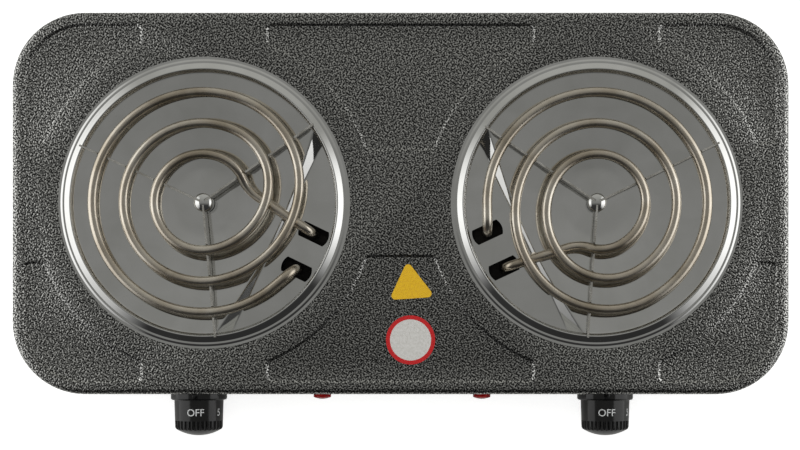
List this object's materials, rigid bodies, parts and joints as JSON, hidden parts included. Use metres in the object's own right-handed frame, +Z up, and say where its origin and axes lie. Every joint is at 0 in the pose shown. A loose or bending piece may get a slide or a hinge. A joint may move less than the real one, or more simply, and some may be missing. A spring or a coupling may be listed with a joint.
{
  "type": "hot plate burner",
  "caption": "Portable electric hot plate with coil burners over chromed drip pans, a hammer-finish steel housing, front control knobs and red indicator lamps.",
  "frame": {"origin": "middle of the footprint at the worktop, under the feet", "axes": "+X to the right along the housing, +Y from the knobs to the back, +Z up"},
  "size_m": [0.48, 0.266, 0.0725],
  "materials": {
    "hammertone_paint": "hammer-finish enamel, glossy, mottled grey",
    "base_steel": "zinc-plated sheet",
    "zinc_hardware": "bright zinc",
    "pan_chrome": "polished chrome plate",
    "coil_sheath": "heat-browned alloy sheath",
    "spider_steel": "bright steel strip",
    "black_plastic": "glossy black moulding",
    "red_lens": "clear red moulding",
    "bulb_glass": "clear glass",
    "rubber": "matt black rubber",
    "brass": "bare brass",
    "ceramic": "unglazed steatite",
    "live_insulation": "brown woven sleeve",
    "neutral_insulation": "blue woven sleeve",
    "switched_insulation": "white woven sleeve",
    "earth_insulation": "green sleeve",
    "lead_insulation": "pale sleeve"
  },
  "bodies": {
    "housing": {"base_plate": "base_steel", "base_screws": "zinc_hardware", "bracket_screws": "zinc_hardware", "bush_nuts": "zinc_hardware", "coil_seals": "ceramic", "cord_gland": "rubber", "earth_lug": "brass", "earth_stud": "brass", "earth_wire": "earth_insulation", "foot_front_left": "rubber", "foot_front_right": "rubber", "foot_nuts": "zinc_hardware", "foot_rear_left": "rubber", "foot_rear_right": "rubber", "foot_screws": "zinc_hardware", "housing_posts": "base_steel", "lamp_clips": "zinc_hardware", "lamp_leads": "lead_insulation", "left_bezel": "black_plastic", "left_bimetal_blade": "zinc_hardware", "left_ceramic_stack": "ceramic", "left_coil": "coil_sheath", "left_contact_blades": "brass", "left_drip_pan": "pan_chrome", "left_lamp_bulb": "bulb_glass", "left_lamp_lens": "red_lens", "left_leg_bracket": "base_steel", "left_medallion": "spider_steel", "left_shaft_bush": "brass", "left_support_arms": "spider_steel", "left_thermostat_frame": "base_steel", "live_wires": "live_insulation", "neutral_wires": "neutral_insulation", "push_on_connectors": "zinc_hardware", "right_bezel": "black_plastic", "right_bimetal_blade": "zinc_hardware", "right_ceramic_stack": "ceramic", "right_coil": "coil_sheath", "right_contact_blades": "brass", "right_drip_pan": "pan_chrome", "right_lamp_bulb": "bulb_glass", "right_lamp_lens": "red_lens", "right_leg_bracket": "base_steel", "right_medallion": "spider_steel", "right_shaft_bush": "brass", "right_support_arms": "spider_steel", "right_thermostat_frame": "base_steel", "stack_rivets": "zinc_hardware", "switched_wires": "switched_insulation", "terminal_block": "ceramic", "terminal_pins": "zinc_hardware", "terminal_screws": "brass", "top_housing": "hammertone_paint"},
    "left_control": {"left_knob": "black_plastic", "left_control_shaft": "zinc_hardware", "left_knob_clip": "zinc_hardware"},
    "right_control": {"right_knob": "black_plastic", "right_control_shaft": "zinc_hardware", "right_knob_clip": "zinc_hardware"}
  },
  "joints": [
    {"name": "left_knob_turn", "type": "hinge", "parent": "housing", "child": "left_control", "pos_m": [-0.1284, -0.106, 0.034], "axis": [0, 1, 0], "range_deg": [0, 300]},
    {"name": "right_knob_turn", "type": "hinge", "parent": "housing", "child": "right_control", "pos_m": [0.1284, -0.106, 0.034], "axis": [0, 1, 0], "range_deg": [0, 300]}
  ]
}
